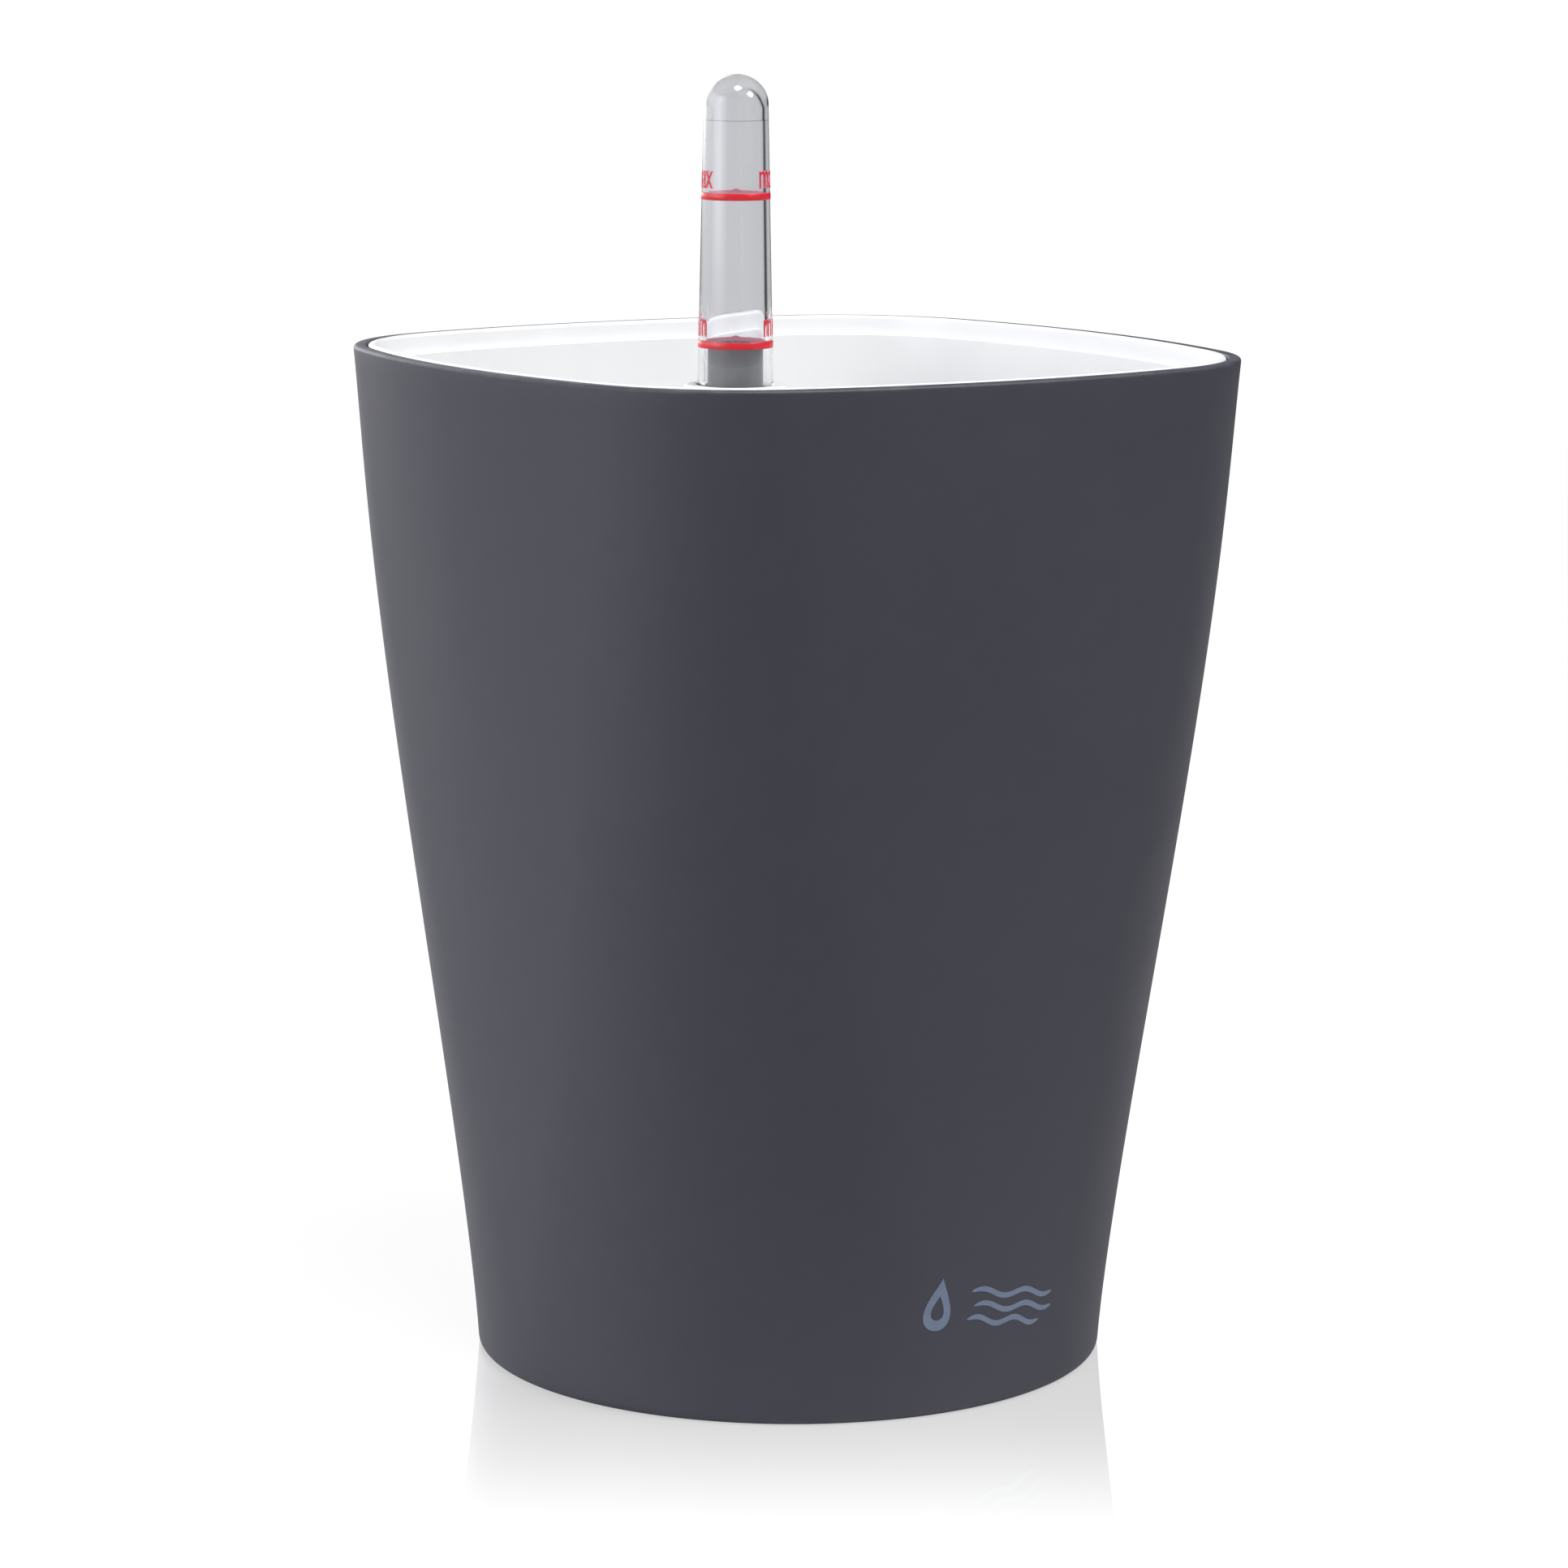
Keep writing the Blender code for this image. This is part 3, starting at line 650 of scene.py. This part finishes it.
def make_sight_tube(material):
    """Clear tapered tube with a domed top and a spigot below. Its bore ends in a hollow dome."""
    spring_line = DOME_TOP - DOME_RISE
    bore_top = SIGHT_BORE - BORE_TAPER * (BORE_TOP - sight_low.z)
    hollow = bore_top - 0.1 * MM
    hollow_line = spring_line - 1 * MM
    hollow_top = DOME_TOP - DOME_WALL
    profile = arc((0, spring_line), (DOME_RADIUS, DOME_RISE), 90, 0, 24)
    profile[0] = (0, DOME_TOP)
    profile += [(sight_radius(z), z) for z in levels(spring_line, SPIGOT_TOP, 3 * MM)]
    profile += [(sight_radius(SPIGOT_TOP), SPIGOT_TOP), (SPIGOT_RADIUS, SPIGOT_TOP),
                (SPIGOT_RADIUS, sight_low.z), (SIGHT_BORE, sight_low.z)]
    profile += [(mix(SIGHT_BORE, bore_top, t / 16), mix(sight_low.z, BORE_TOP, t / 16))
                for t in range(1, 17)]
    profile += [(hollow, BORE_TOP + 0.05 * MM)]
    dome = arc((0, hollow_line), (hollow, hollow_top - hollow_line), 0, 90, 20)
    profile += dome[:-1] + [(0, hollow_top)]
    return turned_piece("sight_tube", profile, material, INDICATOR_AXIS, TURNED_FINE, 50)


def make_shaft(material):
    """Guide tube: a collar with the sight tube's socket, a shoulder that rests on the liner's boss,
    and inlet slots near its foot."""
    radius, bore, collar, socket = SHAFT_RADIUS, SHAFT_BORE, COLLAR_RADIUS, SOCKET_RADIUS
    top, bottom = shaft_high.z, shaft_low.z
    flare = collar - radius
    shoulder_bottom = BOSS_TOP + GAP
    shoulder_top = shoulder_bottom + SHOULDER_HEIGHT
    socket_floor = top - SOCKET_DEPTH
    collar_bottom = socket_floor - 1 * MM
    small = 0.5 * MM
    edge = 0.2 * MM
    chamfer = 0.3 * MM
    profile = arc((collar - small, top - small), (small, small), 90, 0, 4)
    profile += arc((collar - flare, collar_bottom), (flare, flare), 0, -60, 6)
    profile += [(radius, collar_bottom - flare)]
    profile += [(radius, z) for z in levels(socket_floor - 4 * MM, shoulder_top + flare, 8 * MM)]
    profile += [(radius, shoulder_top + flare / 2), (collar - edge, shoulder_top),
                (collar, shoulder_top - edge), (collar, shoulder_bottom + edge),
                (collar - edge, shoulder_bottom), (radius, shoulder_bottom)]
    profile += [(radius, z) for z in levels(shoulder_bottom, bottom + edge, 8 * MM)]
    profile += [(radius, bottom + edge), (radius - edge, bottom), (bore, bottom)]
    profile += [(bore, z) for z in levels(bottom, socket_floor, 10 * MM)]
    profile += [(bore, socket_floor), (socket, socket_floor), (socket, top - chamfer),
                (socket + chamfer, top)]
    shaft = turned_piece("indicator_guide", profile, material, INDICATOR_AXIS)
    slot_size = Vector((4 * radius, INLET_WIDTH, INLET_LENGTH))
    slots = box_cutter([(slot_size, Vector((0, 0, INLET_MIDDLE)), turn) for turn in (0, pi / 2)])
    slots.data.transform(Matrix.Translation((*INDICATOR_AXIS, 0)))
    combine(shaft, slots)
    return shaft


def make_indicator_foot(material):
    """End plug of the guide tube, with a hole for the water."""
    top, bottom = foot_high.z, foot_low.z
    flange_top = shaft_low.z - GAP
    flange, spigot, hole = FOOT_FLANGE, FOOT_SPIGOT, FOOT_HOLE
    small, edge = 0.3 * MM, 0.5 * MM
    profile = [(hole + small, top)]
    profile += arc((spigot - edge, top - edge), (edge, edge), 90, 0, 4)
    profile += [(spigot, flange_top)]
    profile += arc((flange - small, flange_top - small), (small, small), 90, 0, 3)
    profile += arc((flange - small, bottom + small), (small, small), 0, -90, 3)
    profile += [(hole + small, bottom), (hole, bottom + small), (hole, top - small)]
    return turned_piece("indicator_end_plug", profile, material, INDICATOR_AXIS)


def make_float(material):
    """Hollow rod with a dished top, and the plug that closes its lower end."""
    radius = (rod_high.x - rod_low.x) / 2
    bore = radius - FLOAT_WALL
    edge = 0.4 * MM
    rim, rim_drop = 0.9 * MM, 0.25 * MM
    top, bottom = rod_high.z, rod_low.z
    bore_top = top - FLOAT_ROOF
    profile = [(0, top - FLOAT_DISH), (radius - 1.6 * MM, top - FLOAT_DISH * 0.75)]
    profile += arc((radius - rim, top - rim_drop), (rim - edge, rim_drop), 180, 90, 4)[1:]
    profile += arc((radius - edge, top - edge), (edge, edge), 90, 0, 5)
    profile += [(radius, z) for z in levels(top - edge, bottom, 8 * MM)]
    profile += [(radius, bottom), (bore, bottom)]
    profile += [(bore, z) for z in levels(bottom, bore_top, 12 * MM)]
    profile += [(bore, bore_top), (0, bore_top)]
    rod = turned_piece("float_tube", profile, material, INDICATOR_AXIS)

    low, high = plug_low.z, plug_high.z
    spigot = bore - GAP
    flange_top = bottom - GAP
    profile = [(0, high)]
    profile += arc((spigot - edge, high - edge), (edge, edge), 90, 0, 4)
    profile += [(spigot, flange_top), (radius, flange_top)]
    profile += arc((radius - edge, low + edge), (edge, edge), 0, -90, 4)
    profile += [(0, low)]
    plug = turned_piece("float_end_plug", profile, material, INDICATOR_AXIS)
    return rod, plug


# ---------------------------------------------------------------- printed marks
def print_ring(name, height, material):
    """A red level ring: a thin band of ink round the sight tube."""
    gap, ink_height, edge = INK_GAP, 0.09 * MM, 0.08 * MM
    low, high = height - RING_HEIGHT / 2, height + RING_HEIGHT / 2
    profile = [(sight_radius(high) + gap, high), (sight_radius(high) + ink_height - edge / 2, high),
               (sight_radius(high - edge) + ink_height, high - edge),
               (sight_radius(low + edge) + ink_height, low + edge),
               (sight_radius(low) + ink_height - edge / 2, low), (sight_radius(low) + gap, low)]
    ring = turned_piece(name, profile, material, INDICATOR_AXIS, TURNED_FINE)
    for vertex in ring.data.vertices:
        if vertex.co.z > height:
            angle = atan2(vertex.co.y - INDICATOR_AXIS[1], vertex.co.x - INDICATOR_AXIS[0])
            off_seam = abs(angle - (pi / 2 - CAMERA_HEADING)) * sight_radius(height)
            vertex.co.z += SEAM_RISE * smooth(max(0, 1 - off_seam / SEAM_HALF_WIDTH))
    return ring


def slice_mesh(shape, axis, spacing):
    """Cuts the mesh into strips so that it can bend."""
    spots = [vertex.co[axis] for vertex in shape.verts]
    low, high = min(spots), max(spots)
    normal = Vector((0, 0, 0))
    normal[axis] = 1
    for spot in levels(low, high, spacing):
        everything = shape.verts[:] + shape.edges[:] + shape.faces[:]
        bmesh.ops.bisect_plane(shape, geom=everything, plane_co=normal * spot, plane_no=normal)


def mesh_of_curve(curve):
    thing = bpy.data.objects.new(curve.name, curve)
    bpy.context.scene.collection.objects.link(thing)
    mesh = evaluated_mesh(thing)
    bpy.data.objects.remove(thing, do_unlink=True)
    return mesh


def flat_text(text, size, thickness):
    """A flat word as a mesh: X along the line, Y up, Z out of the surface."""
    curve = bpy.data.curves.new("word", "FONT")
    curve.body = text
    curve.size = size
    curve.align_x = "CENTER"
    curve.extrude = thickness / 2
    curve.resolution_u = 6
    return mesh_of_curve(curve)


def wrap_on_tube(name, mesh, height, direction, material):
    """Bends a flat mesh round the sight tube, its middle facing a direction given as an angle."""
    shape = bmesh.new()
    shape.from_mesh(mesh)
    bmesh.ops.remove_doubles(shape, verts=shape.verts, dist=WELD)
    slice_mesh(shape, 0, 0.25 * MM)
    thick = max(vertex.co.z for vertex in shape.verts)
    for vertex in shape.verts:
        z = height + vertex.co.y
        radius = sight_radius(z) + INK_GAP + thick + vertex.co.z
        angle = direction + LETTER_WIDTH * vertex.co.x / sight_radius(height)
        vertex.co = Vector((INDICATOR_AXIS[0] + radius * cos(angle),
                            INDICATOR_AXIS[1] + radius * sin(angle), z))
    return new_object(name, mesh_of(name, shape), material)


def droplet(centre, size):
    """Outline of a drop: a half circle below, and two hollow curves that meet in a point above."""
    points = []
    for index in range(48):
        angle = 2 * pi * index / 48
        points.append(Vector((centre[0] + 0.5 * size * sin(angle) * sin(angle / 2) ** 1.4,
                              centre[1] + 0.62 * size * cos(angle), 0)))
    return points


def wave(start, length, swing, thickness):
    """Outline of a wavy stroke with tapered ends."""
    upper, lower = [], []
    for index in range(41):
        t = index / 40
        x = start[0] + length * t
        y = start[1] + swing * sin(4 * pi * t)
        half = thickness / 2 * sqrt(max(0.02, 1 - (2 * t - 1) ** 6))
        upper.append(Vector((x, y + half, 0)))
        lower.append(Vector((x, y - half, 0)))
    return upper + lower[::-1]


def flat_shape(outlines, thickness):
    """A flat mesh with the given outlines. An outline inside another one is a hole."""
    curve = bpy.data.curves.new("outline", "CURVE")
    curve.dimensions = "2D"
    curve.fill_mode = "BOTH"
    curve.extrude = thickness / 2
    for outline in outlines:
        spline = curve.splines.new("POLY")
        spline.points.add(len(outline) - 1)
        for point, place in zip(spline.points, outline):
            point.co = (*place, 1)
        spline.use_cyclic_u = True
    return mesh_of_curve(curve)


def make_mark(material):
    """Generic water mark printed low on the -Y side: a drop and three waves."""
    outlines = [droplet((DROP_PLACE, 0), DROP_SIZE),
                droplet((DROP_PLACE, DROP_HOLE_HEIGHT), DROP_HOLE_SIZE)]
    for row, (start, length) in enumerate(WAVES):
        outlines.append(wave((start, WAVE_SPACING * (1 - row)), length, WAVE_SWING, WAVE_STROKE))
    shape = bmesh.new()
    shape.from_mesh(flat_shape(outlines, MARK_INK))
    bmesh.ops.remove_doubles(shape, verts=shape.verts, dist=WELD)
    bmesh.ops.rotate(shape, verts=shape.verts, matrix=Matrix.Rotation(MARK_TILT, 3, "Z"))
    slice_mesh(shape, 0, 0.8 * MM)
    slice_mesh(shape, 1, 1.0 * MM)
    for vertex in shape.verts:
        outline = Outline(MARK_HEIGHT + vertex.co.y)
        point, normal = outline.at(3 * outline.quarter + MARK_OFFSET + vertex.co.x)
        lift = vertex.co.z + MARK_INK
        vertex.co = point + normal * lift + Vector((0, 0, MARK_HEIGHT + vertex.co.y))
    return new_object("water_mark", mesh_of("water_mark", shape), material)


# ---------------------------------------------------------------- studio
CAMERA_BACK = 891.2 * MM
CAMERA_SIDE = -1.2 * MM
CAMERA_HEIGHT = 257.1 * MM
CAMERA_PITCH = 0.17218
CAMERA_ROLL = 0.00442
CAMERA_LENS = 115.9
SOFTBOX_DISTANCE = 1.25
WALLS = ((-120, 5.2), (-90, 2.4), (-60, 1.0), (-30, 5.7), (0, 0.15))    # bearings, levels
WALL_HALF_WIDTH = 30
FLOOR_RADIUS = 1.6
FLOOR_DROP = 0.02 * MM              # keeps the floor off the foot ring
GLOSS = 0.37

ahead = Vector((sin(CAMERA_HEADING), cos(CAMERA_HEADING), 0))
right = Vector((cos(CAMERA_HEADING), -sin(CAMERA_HEADING), 0))
up = Vector((0, 0, 1))


def make_camera():
    data = bpy.data.cameras.new("camera")
    data.lens = CAMERA_LENS
    data.sensor_width = 36
    data.clip_start, data.clip_end = 0.05, 50
    camera = bpy.data.objects.new("camera", data)
    bpy.context.scene.collection.objects.link(camera)
    camera.location = right * CAMERA_SIDE - ahead * CAMERA_BACK + up * CAMERA_HEIGHT
    camera.rotation_euler = (Matrix.Rotation(-CAMERA_HEADING, 4, "Z")
                             @ Matrix.Rotation(pi / 2 - CAMERA_PITCH, 4, "X")
                             @ Matrix.Rotation(CAMERA_ROLL, 4, "Z")).to_euler()
    bpy.context.scene.camera = camera


def softbox(name, bearing, elevation, width, power):
    """A round soft light aimed at the top of the pot. Its bearing is in degrees to the right of
    ahead. Clear plastic mirrors it, but doesn't show it from behind."""
    data = bpy.data.lights.new(name, "AREA")
    data.shape = "DISK"
    data.size = width
    data.energy = power
    light = bpy.data.objects.new(name, data)
    bpy.context.scene.collection.objects.link(light)
    level = ahead * cos(radians(bearing)) + right * sin(radians(bearing))
    towards = level * cos(radians(elevation)) + up * sin(radians(elevation))
    light.location = towards * SOFTBOX_DISTANCE + up * LEDGE_HEIGHT
    light.rotation_euler = towards.to_track_quat("Z", "Y").to_euler()
    light.visible_transmission = False


def make_world():
    """White where the camera sees it, straight or mirrored in the floor. Clear plastic shows a grey
    backdrop with a dark gap in it. Every other ray meets the room: lit walls on the left and a
    little light from high up on the right."""
    world = bpy.data.worlds.new("studio")
    bpy.context.scene.world = world
    world.use_nodes = True
    tree = world.node_tree
    tree.nodes.clear()
    direction = add_node(tree, "ShaderNodeTexCoord").outputs["Generated"]
    turned = add_node(tree, "ShaderNodeMapping", {"Vector": direction, "Rotation": (0, 0, CAMERA_HEADING)})
    parts = add_node(tree, "ShaderNodeSeparateXYZ", {"Vector": turned.outputs["Vector"]}).outputs
    heading = math_node(tree, "ARCTAN2", parts["X"], parts["Y"])
    rise = parts["Z"]

    def panel(centre, half_width, level, edge=remap):
        """A band of light that fades out on both sides. Bearings are in degrees to the right of
        ahead."""
        off = math_node(tree, "SUBTRACT", heading, radians(centre))
        off = add_node(tree, "ShaderNodeMath", {0: off, 1: pi, 2: -pi}, operation="WRAP").outputs["Value"]
        return edge(tree, math_node(tree, "ABSOLUTE", off, 0), 0, radians(half_width), level, 0)

    def add(*values):
        total = values[0]
        for value in values[1:]:
            total = math_node(tree, "ADD", total, value)
        return total

    walls = add(*(panel(bearing, WALL_HALF_WIDTH, level) for bearing, level in WALLS))
    walls = multiply(tree, walls, soft_step(tree, rise, -0.06, -0.01, 0, 1))
    walls = multiply(tree, walls, soft_step(tree, rise, 0.38, 0.58, 1, 0))
    room = add(walls, multiply(tree, panel(90, 90, 1.1), soft_step(tree, rise, 0.5, 0.7, 0, 1)))
    backdrop = math_node(tree, "SUBTRACT", add(panel(-35, 60, 0.09), 0.60),
                         panel(50, 24, 0.60, soft_step))

    path = add_node(tree, "ShaderNodeLightPath").outputs
    straight = math_node(tree, "LESS_THAN", path["Diffuse Depth"], 0.5)
    through = multiply(tree, path["Is Transmission Ray"], straight)
    strength = add_node(tree, "ShaderNodeMix", {"Factor": through, "A": room, "B": backdrop})
    seen = math_node(tree, "MAXIMUM", path["Is Camera Ray"], path["Is Singular Ray"])
    white = add_node(tree, "ShaderNodeBackground", {"Color": (1, 1, 1, 1), "Strength": 1.05})
    studio = add_node(tree, "ShaderNodeBackground",
                      {"Color": (0.97, 0.98, 1, 1), "Strength": strength.outputs["Result"]})
    both = add_node(tree, "ShaderNodeMixShader", {"Fac": seen})
    tree.links.new(studio.outputs["Background"], both.inputs[1])
    tree.links.new(white.outputs["Background"], both.inputs[2])
    add_node(tree, "ShaderNodeOutputWorld", {"Surface": both.outputs["Shader"]})


def distance_along(tree, direction):
    return add_node(tree, "ShaderNodeVectorMath", {0: object_position(tree), 1: direction},
                    operation="DOT_PRODUCT").outputs["Value"]


def make_floor():
    """Plain white light table, with a clear gloss near the planter. It lights the planter from
    below, more on the left than on the right."""
    shape = bmesh.new()
    bmesh.ops.create_circle(shape, cap_ends=True, segments=128, radius=FLOOR_RADIUS)
    floor = new_object("floor", mesh_of("floor", shape), None)
    floor.location.z = -FLOOR_DROP
    material, tree, shader = blank_material("floor")
    gloss = soft_step(tree, distance_along(tree, -ahead), 40 * MM, 138 * MM, GLOSS, 0)
    bounce = soft_step(tree, distance_along(tree, right), -100 * MM, 100 * MM, 0.37, 0.22)
    seen = add_node(tree, "ShaderNodeLightPath").outputs["Is Camera Ray"]
    set_shader(shader, Base_Color=(0.2, 0.2, 0.2, 1), Roughness=0.6, Specular_IOR_Level=0.0)
    shader.inputs["Emission Color"].default_value = (1, 1, 1, 1)
    level = add_node(tree, "ShaderNodeMix", {"Factor": seen, "A": bounce, "B": 0.85})
    tree.links.new(level.outputs["Result"], shader.inputs["Emission Strength"])
    mirror = add_node(tree, "ShaderNodeBsdfGlossy", {"Color": (1, 1, 1, 1), "Roughness": 0.0})
    both = add_node(tree, "ShaderNodeMixShader", {"Fac": gloss})
    tree.links.new(shader.outputs["BSDF"], both.inputs[1])
    tree.links.new(mirror.outputs["BSDF"], both.inputs[2])
    output = next(node for node in tree.nodes if node.type == "OUTPUT_MATERIAL")
    tree.links.new(both.outputs["Shader"], output.inputs["Surface"])
    floor.data.materials.append(material)


def make_studio():
    """World, floor and lights. The colours are shown as they are, without a film look."""
    make_world()
    make_floor()
    softbox("softbox_right", 119, 38, 0.47, 9.0)
    softbox("softbox_top", 166, 70, 0.46, 10.0)
    view = bpy.context.scene.view_settings
    view.view_transform = "Standard"
    view.look = "None"


# ---------------------------------------------------------------- assembly
def place(piece, body, slot, *nodes):
    """A finished piece rides on its body and stands for its CAD nodes, which are hidden. Its slot is not
    used.
    """
    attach(piece, body)
    if nodes:
        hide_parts(*nodes)


def main():
    make_camera()
    make_studio()

    dark = pot_plastic()
    liner_white = white_plastic("liner_plastic", (0.835, 0.84, 0.85), (0.865, 0.87, 0.878), 0.30, 0.42)
    basket_white = white_plastic("basket_plastic", (0.78, 0.79, 0.79), (0.83, 0.835, 0.83), 0.36, 0.46)
    guide_white = white_plastic("indicator_plastic", (0.82, 0.83, 0.84), (0.86, 0.865, 0.87), 0.26, 0.36,
                                2)
    clear = clear_plastic()
    grey = float_plastic()
    red = ink("print_red", (0.70, 0.020, 0.035), (0.80, 0.030, 0.050), 0.35, 900, (0.88, 0.33, 0.42))

    place(make_outer_pot(dark), "pot", "pot_plastic", "outer_pot")
    place(make_inner_pot(liner_white), "liner", "liner_plastic", "inner_pot")
    place(make_basket(basket_white), "basket", "basket_plastic", "wicking_basket")
    place(make_sight_tube(clear), "indicator", "clear_plastic", "indicator_sight_tube")
    place(make_shaft(guide_white), "indicator", "indicator_plastic", "indicator_shaft")
    place(make_indicator_foot(guide_white), "indicator", "indicator_plastic", "indicator_foot")
    rod, plug = make_float(grey)
    place(rod, "float", "float_plastic", "float_rod")
    place(plug, "float", "float_plastic", "float_plug")

    mark_ink = ink("print_mark", (0.150, 0.190, 0.280), (0.175, 0.215, 0.315), 0.5, 700)
    place(make_mark(mark_ink), "pot", "print_mark")

    for name, height in (("max", MAX_RING), ("min", MIN_RING)):
        place(print_ring("ring_" + name, height, red), "indicator", "print_red")
        for side, direction in (("left", pi + WORD_TURN), ("right", -WORD_TURN)):
            word = flat_text(name, LETTER_SIZE, LETTER_INK)
            piece = wrap_on_tube(f"word_{name}_{side}", word, height + RING_HEIGHT / 2 + LETTER_GAP,
                                 direction - CAMERA_HEADING, red)
            place(piece, "indicator", "print_red")


main()
